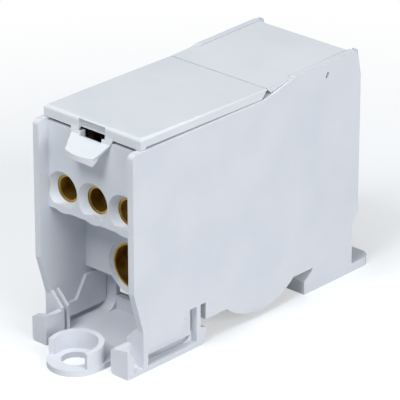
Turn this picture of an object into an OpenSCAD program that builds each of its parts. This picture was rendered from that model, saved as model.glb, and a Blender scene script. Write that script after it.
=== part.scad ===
// Single-pole power distribution block for a 35 mm rail or a panel.
// A one-piece moulded housing holds a stepped brass block; cables enter both ends
// and are clamped by screws that are reached from above, under the covers.
// X is across the block, Y runs from its front end to its rear end, Z is up.

/* [Housing] */
// Width over the two side walls
body_w = 28.8; // [28:0.1:31]
// Length of the side walls
body_d = 71.4; // [71:0.1:73]
// Thickness of the side walls
wall_t = 1.6; // [1.4:0.1:1.8]
// Height of the side walls under the front lid
wall_h = 50.2; // [49.8:0.1:50.4]
// Height of the side walls at their rear corner
rear_h = 53.0; // [52.8:0.1:53.4]
// Thickness of the floor plate
floor_t = 1.3; // [1.2:0.1:1.6]
// How far the cable panels sit back from the ends of the side walls
panel_in = 2.8; // [2.4:0.1:3.2]

/* [Cable ports] */
// Height of the upper row of ports
port_z = 34.6; // [34.2:0.1:35]
// Spacing of the upper ports
port_pitch = 8.8; // [8.6:0.1:9]
// Bore of an upper port in the brass
port_bore_d = 5.2; // [4.6:0.1:5.4]
// Height of the main port
main_z = 16; // [15.5:0.1:16.5]
// Bore of the main port in the brass
main_bore_d = 9.6; // [9:0.1:10]

/* [Clamp screws] */
// Thread diameter of a port screw
port_screw_d = 5; // [4:0.5:5]
// Thread diameter of a main screw
main_screw_d = 8; // [7:0.5:8]
// Radial clearance of every thread
thread_gap = 0.05; // [0.03:0.01:0.08]

/* [Rail and fixing] */
// Width of the mounting rail that the foot grips
rail_w = 35; // [35:0.5:35]
// Diameter of the two fixing holes
fixing_d = 6.2; // [5.4:0.1:6.4]

/* [Hidden] */

half_w = body_w / 2;
inner_w = half_w - wall_t;         // inner face of a side wall
overlap = 0.01;                    // bites that keep cuts and unions clean

// Round lug at the front, flat lug at the rear; both holes lie on one line
lug_x = 1.0;
lug_y = -3.95;
lug_r = 6.1;
collar_t = 1.2;
collar_h = [4.6, 5.5];             // at its two ends, at its back
collar_open = 68;                  // half angle of the collar's open front
rear_lug_end = 76.6;
rear_lug_t = 2.0;
rear_lug_r = 3.0;
rear_hole_y = 72.4;
rear_lug_y0 = 66;
box_mid_y = (rear_lug_end + lug_y - lug_r) / 2;

// Side wall outline
front_step_y = 2.7;                // lower front edge stands back this far
front_step_z = [9.4, 18.8];
rear_step_y = 69.6;
rear_step_z = [12.3, 14.2];
rear_lean = 1.2;                   // upper rear edge leans in over rear_lean_h
rear_lean_h = 6;
ramp_y = [40, 50];                 // wall top rises between these
ramp_z = 52.6;
corner_r = 1.2;

// Rail foot
latch_y = 20.2;                    // rear face of the latch leg
rail_gap = 0.6;
rail_end_y = latch_y + rail_w + 2 * rail_gap;
lip_z = 5.6;                       // ceiling that the rail lips meet
nose_out = 2.0;
nose_z = [1.3, 2.9, 3.7, 4.4];
hook_y = 53.6;
hook_z = 3.0;
belly_y = 39.2;
belly_r = 16.6;
belly_low = 1.6;
leg_t = 1.2;
leg_w = 3.5;
leg_fillet = 3;
slot_y = [latch_y, 21.8];
slot_z = [5.7, 9.6];
window_y = [4.1, 13.8];
window_z = [1.2, 4.8];
arch_y = 15.4;
arch_z = [8.3, 9.6];
arch_r = 1.8;
curtain_t = 0.8;
curtain_y = [5.0, latch_y - leg_t - 0.3];
curtain_z = [2.6, 5.8];

// Cheeks and joining hooks at the lower front corners
cheek_in = 3.2;
cheek_z = 7.0;
cheek_t = 0.8;
hook_front_y = -2.1;
hook_back_y = -0.1;
hook_in_x = 9.5;
hook_left_x = 13.7;
hook_h = [5.6, 6.7];               // the tops rise towards +X
hook_back_h = 4.4;
hook_arm_t = 1.3;

// Panels, shelves and partitions
panel_t = 1.7;
panel_z = [29.9, 49.5];
panel_y = [panel_in, body_d - panel_in];
shelf_t = 1.3;
part_y = [13.4, body_d - 13.4];
part_t = 1.6;
ceiling_z = 7.2;
ceiling_t = 1.6;
funnel_r = 4.3;
throat_r = 3.05;
main_funnel_r = 6.0;
main_throat_r = 5.2;
bulge_r = 5.1;
part_bottom = 12.5;
tube_r = 6.1;
tube_bore_r = 5.4;
tube_end_y = 21.9;
sill_t = 1.3;
notch_w = 7.0;                     // the lid's tongue springs over this notch
notch_z = 47.9;

// Brass block
brass_gap = 0.2;
bar_y = [panel_in + panel_t + brass_gap, body_d - panel_in - panel_t - brass_gap];
bar_z = [panel_z[0] + shelf_t, 42];
bar_half_w = 12.4;
boss_y = [part_y[0] + part_t + brass_gap, part_y[1] - part_t - brass_gap];
boss_half_w = 8.6;
boss_z = part_bottom + sill_t + brass_gap;
keel_y = [tube_end_y + 1.8, body_d - tube_end_y - 1.8];
keel_z = 9.4;
sleeve_r = tube_r + brass_gap;
sleeve_y = tube_end_y + brass_gap;
nose_r = 5.25;
nose_y = [part_y[0] + 0.8, part_y[1] - 0.8];
port_depth = 13;
port_screw_y = [10.6, body_d - 10.6];
main_screw_y = [26.4, body_d - 26.4];
port_x = [-port_pitch, 0, port_pitch];

// Screws, drawn backed out so that every port is open
port_tip_z = port_z + port_bore_d / 2 + 0.2;
port_head_d = 7.2;
port_head_h = 2.9;
port_head_z = 46.9;
main_tip_z = main_z + main_bore_d / 2 + 0.3;
main_screw_l = 12;
hex_af = 4;

// Covers
hinge_y = 41.4;
hinge_z = 52.3;
hinge_gap = 0.12;
lid_half_w = 13.9;
lid_front_y = panel_in;
lid_front_z = 52.8;
lid_t = 1.9;
lid_lift = 0.5;                    // the lid stands off the walls at its front end
lid_skirt_z = 50.3;
lid_edge_r = 0.8;
cover_end_y = 68.4;
cover_end_z = 52.95;
cover_t = 1.8;
cover_play = 0.15;
skirt_y = [45, 55];
skirt_z = 46.5;
tab_w = [11.8, 7.6];
tab_y = -1.6;
tab_bow_r = 14;
slot_w = 6.2;
slot_top = 49.85;
scoop_w = 7.7;
catch_y = 60.2;
catch_z = 49.95;

plastic_hue = "#D6DADF";
brass_hue = "#B98F3E";
steel_hue = "#B9BCBF";

$fn = 48;

// Puts the frame's origin under the middle of the whole block.
module placed() {
    translate([0, -box_mid_y, 0]) children();
}

// Extrudes an outline drawn in (Y, Z) across the block, between two X values.
module across(x0, x1) {
    translate([x0, 0, 0]) rotate([90, 0, 90]) linear_extrude(x1 - x0) children();
}

// Both sides of the block, the second one mirrored.
module both_sides() {
    children();
    mirror([1, 0, 0]) children();
}

// A box given by its lowest and highest corners.
module box(low, high) {
    translate(low) cube(high - low);
}

// A cone or a bore along Y from y0 to y1.
module along_y(x, z, y0, y1, r0, r1) {
    translate([x, y0, z]) rotate([-90, 0, 0]) cylinder(h = y1 - y0, r1 = r0, r2 = r1);
}

// Material to take off a square corner at p to leave the radius r.
// The corner's material lies towards the signs in side.
module corner_cut(p, r, side) {
    translate(p) scale([side[0], side[1]]) difference() {
        translate([-overlap, -overlap]) square(r + overlap);
        translate([r, r]) circle(r);
    }
}

module wall_edge() {
    polygon([
        [front_step_y, 0], [front_step_y, front_step_z[0]], [0, front_step_z[1]],
        [0, wall_h], [ramp_y[0], wall_h], [ramp_y[1], ramp_z],
        [body_d - rear_lean, rear_h], [body_d, rear_h - rear_lean_h],
        [body_d, rear_step_z[1]], [rear_step_y, rear_step_z[0]], [rear_step_y, 0]
    ]);
}

// Space that the rail and its two grips take out of the wall's lower edge.
module rail_space() {
    difference() {
        union() {
            translate([latch_y, -1]) square([hook_y - latch_y, lip_z + 1]);
            polygon([
                [hook_y - overlap, hook_z], [hook_y, hook_z], [hook_y + 1.1, hook_z + 0.8],
                [hook_y + 2.1, hook_z + 1.6], [rail_end_y, lip_z], [hook_y - overlap, lip_z]
            ]);
        }
        intersection() {
            translate([belly_y, belly_low + belly_r]) circle(belly_r, $fn = 96);
            translate([latch_y, 0]) square([hook_y - latch_y, lip_z + 1]);
        }
    }
}

module latch_nose() {
    polygon([
        [latch_y - leg_t, 0], [latch_y, 0], [latch_y + nose_out / 2, nose_z[0]],
        [latch_y + nose_out, nose_z[1]], [latch_y + nose_out - 0.2, nose_z[2]],
        [latch_y, nose_z[3]], [latch_y - leg_t, nose_z[3]]
    ]);
}

// Opening under the side wall that frees the floor plate, so that the latch can spring.
module wall_window() {
    leg_front = latch_y - leg_t;
    translate([window_y[0], window_z[0]])
        square([leg_front - window_y[0], window_z[1] - window_z[0]]);
    difference() {
        polygon([
            [window_y[1], window_z[0]], [window_y[1], window_z[1]], [arch_y, arch_z[0]],
            [arch_y, arch_z[1]], [leg_front, arch_z[1]], [leg_front, window_z[0]]
        ]);
        corner_cut([arch_y, arch_z[1]], arch_r, [1, -1]);
    }
}

module wall_profile() {
    difference() {
        wall_edge();
        rail_space();
        wall_window();
        translate([latch_y, -1]) square([slot_y[1] - slot_y[0], slot_z[1] + 1]);
        corner_cut([0, wall_h], corner_r, [1, -1]);
        corner_cut([body_d - rear_lean, rear_h], corner_r, [-1, -1]);
    }
    latch_nose();
}

// Inner skirt of a side wall, which ends just over the floor plate behind the window.
module window_curtain() {
    x_in = -inner_w + curtain_t;
    across(-inner_w - overlap, x_in) polygon([
        [curtain_y[0], curtain_z[0]], [curtain_y[1], curtain_z[0]], [curtain_y[1], arch_z[1] + 1],
        [window_y[1] - 1, arch_z[1] + 1], [window_y[1] - 4, curtain_z[1]], [curtain_y[0], curtain_z[1]]
    ]);
}

// Small catch window near the top of each side wall
module catch_window() {
    translate([0, catch_y, catch_z]) rotate([60 - 90, 0, 0])
        cube([3 * body_w, 0.6, 1.3], center = true);
}

module side_wall() {
    across(-half_w, -inner_w) wall_profile();
}

module end_panel(y_face, inward) {
    y0 = min(y_face, y_face + inward * panel_t);
    difference() {
        union() {
            box([-inner_w - overlap, y0, panel_z[0]], [inner_w + overlap, y0 + panel_t, panel_z[1]]);
            intersection() {
                for (x = port_x) along_y(x, port_z, y0, y0 + panel_t, bulge_r, bulge_r);
                box([-inner_w, y0 - 1, 0], [inner_w, y0 + panel_t + 1, port_z]);
            }
        }
        for (x = port_x) port_funnel(x, y_face, inward);
        if (inward > 0) box([-notch_w / 2, y0 - 1, notch_z], [notch_w / 2, y0 + panel_t + 1, 50]);
    }
}

module port_funnel(x, y_face, inward) {
    translate([x, y_face, port_z]) rotate([-90 * inward, 0, 0])
        translate([0, 0, -overlap]) cylinder(h = panel_t + 2 * overlap, r1 = funnel_r, r2 = throat_r);
}

// Lower wall of a cable space, with the tube that leads into the main port.
module end_partition(y_face, inward) {
    y0 = min(y_face, y_face + inward * part_t);
    difference() {
        union() {
            box([-inner_w - overlap, y0, part_bottom],
                [inner_w + overlap, y0 + part_t, panel_z[0] + shelf_t]);
            main_tube(y_face, inward, tube_end_y - part_y[0], tube_r, tube_r);
            // sill under the brass and its drop to the rail ceiling
            drop_y = y_face + inward * (tube_end_y - part_y[0]);
            box([-inner_w - overlap, min(y_face, drop_y), part_bottom],
                [inner_w + overlap, max(y_face, drop_y), part_bottom + sill_t]);
            box([-inner_w - overlap, min(drop_y, drop_y + inward * 1.6), ceiling_z],
                [inner_w + overlap, max(drop_y, drop_y + inward * 1.6), part_bottom + sill_t]);
        }
        main_tube(y_face - inward * overlap, inward, 0.8 + 2 * overlap, main_funnel_r - 0.1,
            main_throat_r);
        main_tube(y_face, inward, 30, main_throat_r, main_throat_r);
        main_tube(y_face + inward * 0.8, inward, 30, tube_bore_r, tube_bore_r);
    }
}

// A cone about the main port's axis, from a face inwards.
module main_tube(y_face, inward, length, r0, r1) {
    translate([0, y_face, main_z]) rotate([-90 * inward, 0, 0])
        cylinder(h = length, r1 = r0, r2 = r1);
}

// Shelf between an end panel and its partition; it carries the brass bar.
module end_shelf(y0, y1) {
    box([-inner_w - overlap, y0, panel_z[0]], [inner_w + overlap, y1, panel_z[0] + shelf_t]);
}

module floor_plate() {
    box([-half_w, front_step_y, 0], [half_w, latch_y, window_z[0]]);
    box([-inner_w - overlap, 0.6, 0], [inner_w + overlap, latch_y, floor_t]);
}

// Legs that carry the latch bar, each under one side wall, with filleted feet.
module latch_legs() {
    both_sides() across(-inner_w - overlap, -inner_w + leg_w) {
        translate([latch_y - leg_t, 0]) square([leg_t, arch_z[1] + 0.2]);
        difference() {
            translate([latch_y - leg_t - leg_fillet, 0]) square([leg_fillet + overlap, leg_fillet + floor_t]);
            translate([latch_y - leg_t - leg_fillet, floor_t + leg_fillet]) circle(leg_fillet);
        }
    }
    across(-inner_w, inner_w) latch_nose();
}

// Hooked foot that holds the rail's rear lip, and the floor behind it.
module rear_foot() {
    across(-inner_w - overlap, inner_w + overlap) polygon([
        [hook_y, 0], [hook_y, hook_z], [hook_y + 1.1, hook_z + 0.8],
        [hook_y + 2.1, hook_z + 1.6], [rail_end_y, lip_z],
        [rail_end_y, ceiling_z + overlap], [rail_end_y + 1.4, ceiling_z + overlap],
        [rail_end_y + 1.4, 0]
    ]);
    box([-inner_w - overlap, rail_end_y, 0], [inner_w + overlap, rear_step_y, floor_t]);
}

module rear_lug() {
    difference() {
        linear_extrude(rear_lug_t) difference() {
            translate([-half_w, rear_lug_y0]) square([body_w, rear_lug_end - rear_lug_y0]);
            corner_cut([-half_w, rear_lug_end], rear_lug_r, [1, -1]);
            corner_cut([half_w, rear_lug_end], rear_lug_r, [-1, -1]);
        }
        translate([lug_x, rear_hole_y, -1]) cylinder(h = rear_lug_t + 2, d = fixing_d);
    }
}

// Round tongue with a raised collar, whose top falls towards its open front.
module front_lug() {
    rise = atan((collar_h[1] - collar_h[0]) / (2 * lug_r));
    translate([lug_x, lug_y, 0]) difference() {
        union() {
            cylinder(h = floor_t, r = lug_r);
            translate([-lug_r, 0, 0]) cube([2 * lug_r, front_step_y - lug_y, floor_t]);
            difference() {
                cylinder(h = 2 * collar_h[1], r = lug_r);
                translate([0, 0, floor_t]) cylinder(h = 2 * collar_h[1], r = lug_r - collar_t);
                collar_opening();
                translate([0, lug_r, collar_h[1]]) rotate([rise, 0, 0])
                    translate([-2 * lug_r, -4 * lug_r, 0]) cube([4 * lug_r, 6 * lug_r, 4 * lug_r]);
            }
        }
        translate([0, 0, -1]) cylinder(h = floor_t + 2, d = fixing_d);
    }
}

// Wedge that leaves the collar open towards the front.
module collar_opening() {
    far = 3 * lug_r;
    translate([0, 0, floor_t]) linear_extrude(3 * collar_h[1]) polygon([
        [0, 0], [-far * sin(collar_open), -far * cos(collar_open)], [-far, -far],
        [far, -far], [far * sin(collar_open), -far * cos(collar_open)]
    ]);
}

// Two thin ribs with a groove between them at each lower front corner.
module cheeks() {
    rise = front_step_z[0] - cheek_z;
    both_sides() for (y = [front_step_y, front_step_y + 1.6])
        translate([-inner_w - overlap, y + cheek_t, 0]) rotate([90, 0, 0]) linear_extrude(cheek_t)
            polygon([[0, 0], [cheek_in, 0], [cheek_in, cheek_z], [cheek_in - rise, cheek_z + rise],
                [0, cheek_z + cheek_in]]);
    // web that closes the groove's far side
    both_sides() box([-inner_w - overlap, front_step_y, 0],
        [-inner_w + 0.6, front_step_y + 2.4, cheek_z]);
}

// End view of a joining hook between two X values, rounded at its lower left.
module hook_outline(x0, x1) {
    round_r = 1.0;
    translate([0, hook_back_y, 0]) rotate([90, 0, 0]) linear_extrude(hook_back_y - hook_front_y)
        difference() {
            polygon([[x0, 0], [x0, hook_h[0]], [x1, hook_h[1]], [x1, 0]]);
            corner_cut([x0, 0], round_r, [1, 1]);
        }
}

// Hooks that join neighbouring blocks; the right one reaches the outer face.
module joining_hooks() {
    hook_outline(-hook_left_x, -hook_in_x);
    box([-hook_in_x - hook_arm_t, hook_back_y - overlap, 0],
        [-hook_in_x, front_step_y + overlap, hook_h[1] - 0.2]);
    intersection() {
        hook_outline(hook_in_x, half_w);
        across(0, half_w + 1) polygon([
            [hook_front_y - 1, -1], [hook_front_y - 1, hook_h[1] + 1.4],
            [hook_front_y, hook_h[1]], [hook_back_y, hook_back_h], [hook_back_y, -1]
        ]);
    }
    box([hook_in_x, hook_back_y - 1, 0],
        [hook_in_x + hook_arm_t, front_step_y + overlap, hook_h[0]]);
    box([hook_in_x, hook_back_y - overlap, 0], [half_w, front_step_y + overlap, 1.0]);
}

// Pads that carry the brass above the rail ceiling.
module brass_pads() {
    for (y = [keel_y[0] + 2, keel_y[1] - 5])
        box([-boss_half_w, y, ceiling_z + ceiling_t - overlap], [boss_half_w, y + 3, keel_z]);
}

module housing() color(plastic_hue) placed() {
    difference() {
        union() {
            both_sides() side_wall();
            both_sides() window_curtain();
            end_panel(panel_y[0], 1);
            end_panel(panel_y[1], -1);
            end_partition(part_y[0], 1);
            end_partition(part_y[1], -1);
            end_shelf(panel_y[0], part_y[0] + part_t);
            end_shelf(part_y[1] - part_t, panel_y[1]);
            floor_plate();
            latch_legs();
            box([-inner_w - overlap, tube_end_y, ceiling_z],
                [inner_w + overlap, rail_end_y + 1.4, ceiling_z + ceiling_t]);
            rear_foot();
            rear_lug();
            front_lug();
            cheeks();
            joining_hooks();
            brass_pads();
        }
        catch_window();
    }
}

// End view of a cover, with rounded upper edges, as a bar along Y.
module cover_envelope(half, top) {
    translate([0, body_d, 0]) rotate([90, 0, 0]) linear_extrude(body_d + 10) difference() {
        translate([-half, 40]) square([2 * half, top - 40]);
        corner_cut([-half, top], lid_edge_r, [1, -1]);
        corner_cut([half, top], lid_edge_r, [-1, -1]);
    }
}

module front_lid() color(plastic_hue) placed() {
    difference() {
        union() {
            // plate with its turned-down front wall
            intersection() {
                across(-lid_half_w, lid_half_w) lid_profile();
                cover_envelope(lid_half_w, lid_front_z);
            }
            lid_tab();
        }
        // scoop over the slot
        across(-scoop_w / 2, scoop_w / 2) polygon([
            [lid_front_y - 1, slot_top - overlap], [lid_front_y + 1.0, slot_top - overlap],
            [lid_front_y + 1.2, slot_top + 0.8], [lid_front_y + 0.9, lid_front_z - 1.1],
            [lid_front_y + 0.1, lid_front_z - 0.2], [lid_front_y - 1, lid_front_z]
        ]);
        // slot for a screwdriver blade
        box([-slot_w / 2, -3, slot_top - 0.95], [slot_w / 2, lid_front_y + 2, slot_top]);
    }
}

module lid_profile() {
    rear = hinge_y - hinge_gap;
    difference() {
        polygon([
            [lid_front_y, lid_skirt_z], [lid_front_y, lid_front_z], [rear, hinge_z],
            [rear, hinge_z - 0.3], [rear - 1.6, wall_h + 0.15],
            [lid_front_y + 1.6, wall_h + lid_lift], [lid_front_y + 1.6, lid_skirt_z]
        ]);
        corner_cut([lid_front_y, lid_front_z], lid_edge_r, [1, -1]);
    }
}

// Sloping tongue that is pressed to open the lid, narrower at its bowed lip.
module lid_tab() {
    foot_y = lid_front_y - 0.15;
    intersection() {
        across(-tab_w[0] / 2, tab_w[0] / 2) polygon([
            [foot_y + 0.15, lid_skirt_z + 0.4], [foot_y - 0.2, 49.2], [-0.3, 47.2], [-0.9, 46.9],
            [tab_y, 46.6], [tab_y, 45.4], [-1.0, 45.0], [0.2, 45.6], [1.3, 47.0], [foot_y, 48.6],
            [foot_y, 49.6], [foot_y + 0.75, lid_skirt_z], [foot_y + 0.75, lid_skirt_z + 0.4]
        ]);
        rotate([90, 0, 0]) translate([0, 0, -lid_front_y - 2]) linear_extrude(8) polygon([
            [-tab_w[0] / 2, 51], [-tab_w[0] / 2, 49.8], [-tab_w[1] / 2, 46.4], [-tab_w[1] / 2, 44],
            [tab_w[1] / 2, 44], [tab_w[1] / 2, 46.4], [tab_w[0] / 2, 49.8], [tab_w[0] / 2, 51]
        ]);
        translate([0, tab_y + tab_bow_r, 40]) cylinder(h = 12, r = tab_bow_r, $fn = 96);
    }
}

module rear_cover() color(plastic_hue) placed() {
    rise = (cover_end_z - hinge_z) / (cover_end_y - hinge_y);
    across(-inner_w + cover_play, inner_w - cover_play) polygon([
        [hinge_y + hinge_gap, hinge_z], [cover_end_y, cover_end_z],
        [cover_end_y, cover_end_z - cover_t], [hinge_y + hinge_gap + 1.6, hinge_z - cover_t],
        [hinge_y + hinge_gap, hinge_z - 0.3]
    ]);
    // shoulders that lie on the ramps of the side walls
    across(-lid_half_w, lid_half_w) polygon([
        [hinge_y + hinge_gap, hinge_z], [hinge_y + hinge_gap, hinge_z - 0.3],
        [hinge_y + hinge_gap + 1.2, hinge_z - 1.2], [49.2, hinge_z + rise * (49.2 - hinge_y)]
    ]);
    // skirts that press on the walls, clear of the screw heads
    both_sides() box([-inner_w + cover_play, skirt_y[0], skirt_z],
        [-inner_w + cover_play + 1.2, skirt_y[1], cover_end_z - cover_t]);
}

// Stepped brass block: upper bar for the port rows, boss and keel round the main bore.
module terminal_block() color(brass_hue) placed() {
    difference() {
        union() {
            difference() {
                union() {
                    box([-bar_half_w, bar_y[0], bar_z[0]], [bar_half_w, bar_y[1], bar_z[1]]);
                    box([-boss_half_w, boss_y[0], boss_z],
                        [boss_half_w, boss_y[1], bar_z[0] + overlap]);
                    box([-boss_half_w, keel_y[0], keel_z],
                        [boss_half_w, keel_y[1], boss_z + overlap]);
                }
                // counterbores that take the tubes of the housing
                for (end = [[boss_y[0] - 1, sleeve_y], [body_d - sleeve_y, boss_y[1] + 1]])
                    along_y(0, main_z, end[0], end[1], sleeve_r, sleeve_r);
            }
            along_y(0, main_z, nose_y[0], nose_y[1], nose_r, nose_r);
        }
        for (x = port_x) {
            along_y(x, port_z, bar_y[0] - 1, bar_y[0] + port_depth, port_bore_d / 2, port_bore_d / 2);
            along_y(x, port_z, bar_y[1] - port_depth, bar_y[1] + 1, port_bore_d / 2, port_bore_d / 2);
            for (y = port_screw_y) translate([x, y, port_z])
                cylinder(h = 20, r = port_screw_d / 2 + thread_gap);
        }
        along_y(0, main_z, nose_y[0] - 1, nose_y[1] + 1, main_bore_d / 2, main_bore_d / 2);
        for (y = main_screw_y) translate([0, y, main_z])
            cylinder(h = 40, r = main_screw_d / 2 + thread_gap);
    }
}

// Slotted screw with a cheese head.
module port_screw(x, y) color(steel_hue) placed() translate([x, y, 0]) {
    difference() {
        union() {
            translate([0, 0, port_tip_z])
                cylinder(h = port_head_z - port_tip_z + overlap, d = port_screw_d);
            translate([0, 0, port_head_z]) cylinder(h = port_head_h, d = port_head_d);
        }
        box([-port_head_d, -0.6, port_head_z + port_head_h - 1.4],
            [port_head_d, 0.6, port_head_z + port_head_h + 1]);
    }
}

// Threaded pin with a hexagon socket.
module main_screw(y) color(steel_hue) placed() translate([0, y, main_tip_z]) difference() {
    cylinder(h = main_screw_l, d = main_screw_d);
    translate([0, 0, main_screw_l - 5]) cylinder(h = 6, d = hex_af / cos(30), $fn = 6);
}

housing();
front_lid();
rear_cover();
terminal_block();
port_screw(port_x[0], port_screw_y[0]);  // port_screw_front_left
port_screw(port_x[1], port_screw_y[0]);  // port_screw_front_middle
port_screw(port_x[2], port_screw_y[0]);  // port_screw_front_right
port_screw(port_x[0], port_screw_y[1]);  // port_screw_rear_left
port_screw(port_x[1], port_screw_y[1]);  // port_screw_rear_middle
port_screw(port_x[2], port_screw_y[1]);  // port_screw_rear_right
main_screw(main_screw_y[0]);  // main_screw_front
main_screw(main_screw_y[1]);  // main_screw_rear
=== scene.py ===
# %% [markdown]
# # A power distribution block, dressed for the light
#
# The solids of this block arrive ready made: a moulded housing, two covers, a brass
# block and its screws. This lesson gives them the surface that the real parts have.
# You will see how a moulded edge is rounded with modifiers, how a plastic and two
# metals are built from nodes, and how a soft studio is set up round a pale object.

# %% Load the solids
import math

import bpy
from mathutils import Matrix, Vector


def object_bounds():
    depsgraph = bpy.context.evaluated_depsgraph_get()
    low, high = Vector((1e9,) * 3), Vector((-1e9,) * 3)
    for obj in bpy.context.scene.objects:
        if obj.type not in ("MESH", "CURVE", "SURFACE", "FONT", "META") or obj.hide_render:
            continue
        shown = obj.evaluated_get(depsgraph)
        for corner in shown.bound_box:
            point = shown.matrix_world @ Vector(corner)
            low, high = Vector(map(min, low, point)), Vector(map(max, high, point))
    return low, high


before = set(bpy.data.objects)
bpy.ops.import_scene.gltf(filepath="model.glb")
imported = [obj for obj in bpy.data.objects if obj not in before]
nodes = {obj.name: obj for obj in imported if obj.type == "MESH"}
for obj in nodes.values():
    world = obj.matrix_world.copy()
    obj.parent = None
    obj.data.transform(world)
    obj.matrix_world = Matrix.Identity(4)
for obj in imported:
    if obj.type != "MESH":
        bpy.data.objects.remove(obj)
cad_low, cad_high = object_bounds()
print("solids:", sorted(nodes))
print("box in mm:", [round(1000 * (b - a), 1) for a, b in zip(cad_low, cad_high)])

# %% [markdown]
# ## Units and colour
#
# Blender's shaders work in linear light, but a colour is usually written down as an
# sRGB hex value. One function turns the second into the first. Lengths are in metres,
# so a constant for one millimetre keeps the numbers readable.

# %% Millimetres and linear colour
MM = 0.001
WAVE_BAND = 0.314  # length of one band of a wave texture whose scale is one


def linear(hex_colour):
    """An sRGB hex colour as linear RGBA."""
    channels = [int(hex_colour[i:i + 2], 16) / 255 for i in (1, 3, 5)]
    curve = [c / 12.92 if c <= 0.04045 else ((c + 0.055) / 1.055) ** 2.4 for c in channels]
    return (*curve, 1.0)


print("light grey in linear light:", [round(c, 3) for c in linear("#D8DCE2")])

# %% [markdown]
# ## Building a material
#
# A material is a small network. The function below adds any node, sets its values by
# name and plugs in its links, so that every finish can be written as a short list.

# %% One function for every node
def add(tree, kind, settings=None, **links):
    """Adds a node. Settings are attributes or socket values; links are socket=source.

    Sockets that share one name are given by number: 1 in settings, s1 in links.
    """
    node = tree.nodes.new(kind)
    for key, value in (settings or {}).items():
        if isinstance(key, int) or key in node.inputs.keys():
            node.inputs[key].default_value = value
        else:
            setattr(node, key, value)
    for key, source in links.items():
        socket = int(key[1:]) if key[1:].isdigit() else key.replace("_", " ")
        tree.links.new(source, node.inputs[socket])
    return node


def new_material(name):
    """An empty material with its output node and its tree."""
    material = bpy.data.materials.new(name)
    material.use_nodes = True
    tree = material.node_tree
    tree.nodes.clear()
    return material, tree


# %% [markdown]
# ## Moulded polyamide
#
# The housing and covers are polyamide, injected into a steel tool whose faces were
# spark eroded. That leaves a fine, even grain about a quarter of a millimetre across
# and a satin surface: broad soft highlights and no mirror image. Large walls also sink
# a few hundredths where ribs stand behind them, which bends a highlight slowly. The
# pigment is never quite even, so the colour drifts by a few percent over centimetres.
# A noise pattern could be painted on, but computing it in the object's own space keeps
# its size true, because one unit of that space is one metre.

# %% Polyamide
def polyamide(name, light_hex, shade_hex):
    """Injection-moulded polyamide with spark-eroded grain, between two near colours."""
    grain_size = 0.28 * MM
    drift_size = 14 * MM
    material, tree = new_material(name)
    place = add(tree, "ShaderNodeTexCoord").outputs["Object"]
    drift = add(tree, "ShaderNodeTexNoise", {"Scale": 1 / drift_size, "Detail": 3.0,
                                             "Roughness": 0.5}, Vector=place)
    tint = add(tree, "ShaderNodeValToRGB", Fac=drift.outputs["Fac"])
    tint.color_ramp.elements[0].position = 0.35
    tint.color_ramp.elements[0].color = linear(shade_hex)
    tint.color_ramp.elements[1].position = 0.65
    tint.color_ramp.elements[1].color = linear(light_hex)
    grain = add(tree, "ShaderNodeTexNoise", {"Scale": 1 / grain_size, "Detail": 2.0,
                                             "Roughness": 0.6}, Vector=place)
    gloss = add(tree, "ShaderNodeMapRange", {"To Min": 0.44, "To Max": 0.58},
                Value=grain.outputs["Fac"])
    sink = add(tree, "ShaderNodeBump", {"Strength": 0.25, "Distance": 0.12 * MM},
               Height=drift.outputs["Fac"])
    skin = add(tree, "ShaderNodeBump", {"Strength": 0.22, "Distance": 0.018 * MM},
               Height=grain.outputs["Fac"], Normal=sink.outputs["Normal"])
    body = add(tree, "ShaderNodeBsdfPrincipled", {"IOR": 1.53},
               Base_Color=tint.outputs["Color"], Roughness=gloss.outputs["Result"],
               Normal=skin.outputs["Normal"])
    add(tree, "ShaderNodeOutputMaterial", Surface=body.outputs["BSDF"])
    print(name, "grain", round(grain_size / MM, 2), "mm, drift", round(drift_size / MM), "mm")
    return material


housing_plastic = polyamide("polyamide_housing", "#D9DCE2", "#D3D7DE")
cover_plastic = polyamide("polyamide_cover", "#DADFE2", "#D5DADF")

# %% [markdown]
# ## Drilled brass
#
# The conductor block is free-cutting brass. Drills and mills leave rings about a third
# of a millimetre apart, and the surface has had time to dull a little, so its colour
# runs from bright yellow to a warmer brown. Rings round a bore could be modelled, but a
# wave pattern that only bends the normal is enough at this depth.

# %% Brass
def brass(name):
    """Free-cutting brass, drilled and left bare."""
    ring_pitch = 0.33 * MM
    stain_size = 3.5 * MM
    material, tree = new_material(name)
    place = add(tree, "ShaderNodeTexCoord").outputs["Object"]
    rings = add(tree, "ShaderNodeTexWave", {"bands_direction": "Y", "Scale": WAVE_BAND / ring_pitch,
                                            "Distortion": 1.2, "Detail": 2.0}, Vector=place)
    stain = add(tree, "ShaderNodeTexNoise", {"Scale": 1 / stain_size, "Detail": 4.0}, Vector=place)
    tint = add(tree, "ShaderNodeValToRGB", Fac=stain.outputs["Fac"])
    tint.color_ramp.elements[0].position = 0.36
    tint.color_ramp.elements[0].color = linear("#C79C3E")
    tint.color_ramp.elements[1].position = 0.62
    tint.color_ramp.elements[1].color = linear("#EBCB6C")
    gloss = add(tree, "ShaderNodeMapRange", {"To Min": 0.38, "To Max": 0.55},
                Value=stain.outputs["Fac"])
    cut = add(tree, "ShaderNodeBump", {"Strength": 0.35, "Distance": 0.03 * MM},
              Height=rings.outputs["Fac"])
    body = add(tree, "ShaderNodeBsdfPrincipled", {"Metallic": 1.0},
               Base_Color=tint.outputs["Color"], Roughness=gloss.outputs["Result"],
               Normal=cut.outputs["Normal"])
    add(tree, "ShaderNodeOutputMaterial", Surface=body.outputs["BSDF"])
    print(name, "tool rings every", round(ring_pitch / MM, 2), "mm")
    return material


block_brass = brass("brass_drilled")

# %% [markdown]
# ## Zinc-plated steel
#
# The clamp screws are steel with a bright zinc plating, which is cool grey with a faint
# blue passivation. The plating follows the rolled metal below, so its gloss is uneven at
# about half a millimetre.

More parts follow.
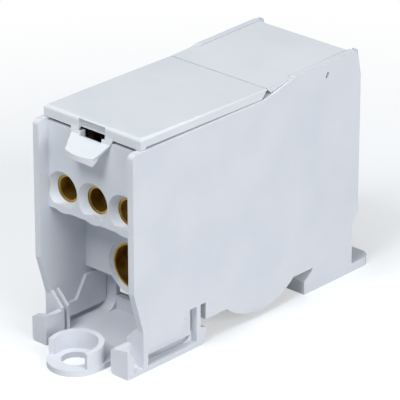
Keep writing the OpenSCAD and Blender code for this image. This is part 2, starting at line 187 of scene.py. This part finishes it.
# %% Zinc-plated steel
def zinc_plating(name):
    """Rolled steel screw with bright zinc and blue passivation."""
    patch_size = 0.5 * MM
    material, tree = new_material(name)
    place = add(tree, "ShaderNodeTexCoord").outputs["Object"]
    patch = add(tree, "ShaderNodeTexNoise", {"Scale": 1 / patch_size, "Detail": 3.0}, Vector=place)
    tint = add(tree, "ShaderNodeValToRGB", Fac=patch.outputs["Fac"])
    tint.color_ramp.elements[0].color = linear("#A9AFB6")
    tint.color_ramp.elements[1].color = linear("#CDD2D8")
    gloss = add(tree, "ShaderNodeMapRange", {"To Min": 0.24, "To Max": 0.4},
                Value=patch.outputs["Fac"])
    body = add(tree, "ShaderNodeBsdfPrincipled", {"Metallic": 1.0},
               Base_Color=tint.outputs["Color"], Roughness=gloss.outputs["Result"])
    add(tree, "ShaderNodeOutputMaterial", Surface=body.outputs["BSDF"])
    print(name, "patches of", round(patch_size / MM, 2), "mm")
    return material


screw_steel = zinc_plating("zinc_plated_steel")

# %% [markdown]
# ## Dressing the solids
#
# Nothing that comes out of a mould or off a lathe has a knife edge, and a small radius
# is what catches the light along an edge. The solids arrive as triangles, so a planar
# decimate first joins those that lie in one plane. A bevel then rounds only the edges
# that turn by more than thirty degrees, and a weighted normal keeps the flats flat.

# %% Rounded edges and a finish for each solid
def dress(name, material, edge_radius):
    """Gives a solid its finish and rounds its edges."""
    solid = nodes[name]
    solid.data.materials.clear()
    solid.data.materials.append(material)
    solid.data.shade_smooth()
    same_plane, sharp_turn = math.radians(0.4), math.radians(30)
    flats = solid.modifiers.new("join_flats", "DECIMATE")
    flats.decimate_type = "DISSOLVE"
    flats.angle_limit = same_plane
    bevel = solid.modifiers.new("mould_radius", "BEVEL")
    bevel.width = edge_radius
    bevel.segments = 2
    bevel.limit_method = "ANGLE"
    bevel.angle_limit = sharp_turn
    bevel.use_clamp_overlap = True
    normals = solid.modifiers.new("flat_normals", "WEIGHTED_NORMAL")
    normals.keep_sharp = False
    print(name, "edge radius", round(edge_radius / MM, 2), "mm")


dress("housing", housing_plastic, 0.22 * MM)
dress("front_lid", cover_plastic, 0.25 * MM)
dress("rear_cover", cover_plastic, 0.1 * MM)
dress("terminal_block", block_brass, 0.12 * MM)
for name in sorted(nodes):
    if "screw" in name:
        dress(name, screw_steel, 0.1 * MM)

# %% [markdown]
# ## A floor that vanishes
#
# The block stands on pale grey paper. A white one would throw so much light upwards that
# the deep cable space would lose its shade. To the camera alone the paper also glows, which
# lifts it to white and keeps the shadow of the block. Further out it fades, again to the
# camera alone, into the plain white of the room, so that no horizon shows.

# %% Floor and world
def paper_floor():
    """A wide plane of pale paper under the block, which the camera sees as white."""
    side = 1.6
    fade_start, fade_end = 80 * MM, 190 * MM
    gap = 0.02 * MM
    camera_glow = 0.42
    bpy.ops.mesh.primitive_plane_add(size=side, location=(0, 0, cad_low.z - gap))
    floor = bpy.context.object
    floor.name = "paper_floor"
    material, tree = new_material("pale_paper")
    place = add(tree, "ShaderNodeTexCoord").outputs["Object"]
    away = add(tree, "ShaderNodeVectorMath", {"operation": "LENGTH"}, s0=place)
    fade = add(tree, "ShaderNodeMapRange", {"interpolation_type": "SMOOTHSTEP",
                                            "From Min": fade_start, "From Max": fade_end},
               Value=away.outputs["Value"])
    seen = add(tree, "ShaderNodeLightPath").outputs["Is Camera Ray"]
    share = add(tree, "ShaderNodeMath", {"operation": "MULTIPLY"}, s0=seen,
                s1=fade.outputs["Result"])
    glow_level = add(tree, "ShaderNodeMath", {"operation": "MULTIPLY", 1: camera_glow}, s0=seen)
    paper = add(tree, "ShaderNodeBsdfDiffuse", {"Color": linear("#BFC2C4")})
    glow = add(tree, "ShaderNodeEmission", {"Color": (1, 1, 1, 1)},
               Strength=glow_level.outputs["Value"])
    near = add(tree, "ShaderNodeAddShader", s0=paper.outputs["BSDF"],
               s1=glow.outputs["Emission"])
    white = add(tree, "ShaderNodeEmission", {"Color": (1, 1, 1, 1), "Strength": 1.0})
    whole = add(tree, "ShaderNodeMixShader", s0=share.outputs["Value"],
                s1=near.outputs["Shader"], s2=white.outputs["Emission"])
    add(tree, "ShaderNodeOutputMaterial", Surface=whole.outputs["Shader"])
    floor.data.materials.append(material)
    print("floor side", side, "m")


def white_room(level, sky_hex):
    """A world that is white to the camera and lights the block evenly in a given tint."""
    world = bpy.data.worlds.new("white_room")
    bpy.context.scene.world = world
    world.use_nodes = True
    tree = world.node_tree
    tree.nodes.clear()
    rays = add(tree, "ShaderNodeLightPath").outputs
    direct = add(tree, "ShaderNodeMath", {"operation": "MAXIMUM"},
                 s0=rays["Is Camera Ray"], s1=rays["Is Transmission Ray"])
    soft = add(tree, "ShaderNodeBackground", {"Color": linear(sky_hex), "Strength": level})
    white = add(tree, "ShaderNodeBackground", {"Color": (1, 1, 1, 1), "Strength": 1.0})
    whole = add(tree, "ShaderNodeMixShader", s0=direct.outputs["Value"],
                s1=soft.outputs["Background"], s2=white.outputs["Background"])
    add(tree, "ShaderNodeOutputWorld", Surface=whole.outputs["Shader"])
    print("room light", level)


paper_floor()
white_room(0.12, "#DCEBFF")

# %% [markdown]
# ## Soft lamps
#
# Three wide lamps do the modelling. One hangs overhead and lights the covers. One stands
# to the right and lifts the long side wall to the same level. One in front stands high, so
# that it reaches the end panel while the panel itself shades the cable space below.

# %% Lamps
def soft_lamp(name, place, target, size, power):
    """A square area lamp that faces a point."""
    data = bpy.data.lights.new(name, "AREA")
    data.shape = "SQUARE"
    data.size = size
    data.energy = power
    lamp = bpy.data.objects.new(name, data)
    bpy.context.scene.collection.objects.link(lamp)
    lamp.location = place
    lamp.rotation_euler = (Vector(target) - Vector(place)).to_track_quat("-Z", "Y").to_euler()
    print(name, power, "W")


middle = (cad_low + cad_high) / 2
soft_lamp("top_lamp", (0.1, -0.25, 1.0), middle, 0.7, 4.3)
soft_lamp("side_lamp", (0.95, -0.1, 0.45), middle, 0.6, 7.4)
soft_lamp("front_lamp", (0.05, -0.66, 0.85), middle, 0.4, 5.6)

# %% [markdown]
# ## The camera
#
# The block is seen from a good distance through a long lens, from the right and above,
# with its length running away to the right. Three numbers place the camera: how far
# round it stands, how high, and how far away. Two small slides then centre the view.
# The perspective stays gentle, as the distance is eight times the length of the block.

# %% Camera
def place_camera():
    """A long lens that looks down on the block from its front right."""
    turn, rise = math.radians(42.741), math.radians(24.283)
    distance = 710.65 * MM
    slide_left, slide_up = 0.183 * MM, 2.071 * MM
    lens, sensor = 296.85, 36.0
    aim = Vector((0, 2.575 * MM, 22.0 * MM))
    back = Vector((math.sin(turn) * math.cos(rise), -math.cos(turn) * math.cos(rise),
                   math.sin(rise)))
    right = Vector((math.cos(turn), math.sin(turn), 0))
    up = back.cross(right)
    camera = bpy.data.objects.new("camera", bpy.data.cameras.new("camera"))
    bpy.context.scene.collection.objects.link(camera)
    camera.data.lens = lens
    camera.data.sensor_width = sensor
    camera.data.clip_start = 0.05
    spot = aim + back * distance - right * slide_left + up * slide_up
    camera.matrix_world = Matrix.Translation(spot) @ Matrix(
        (right, up, back)).transposed().to_4x4()
    bpy.context.scene.camera = camera
    bpy.context.scene.view_settings.view_transform = "Standard"
    print("camera", [round(c, 3) for c in spot], "lens", camera.data.lens)


place_camera()
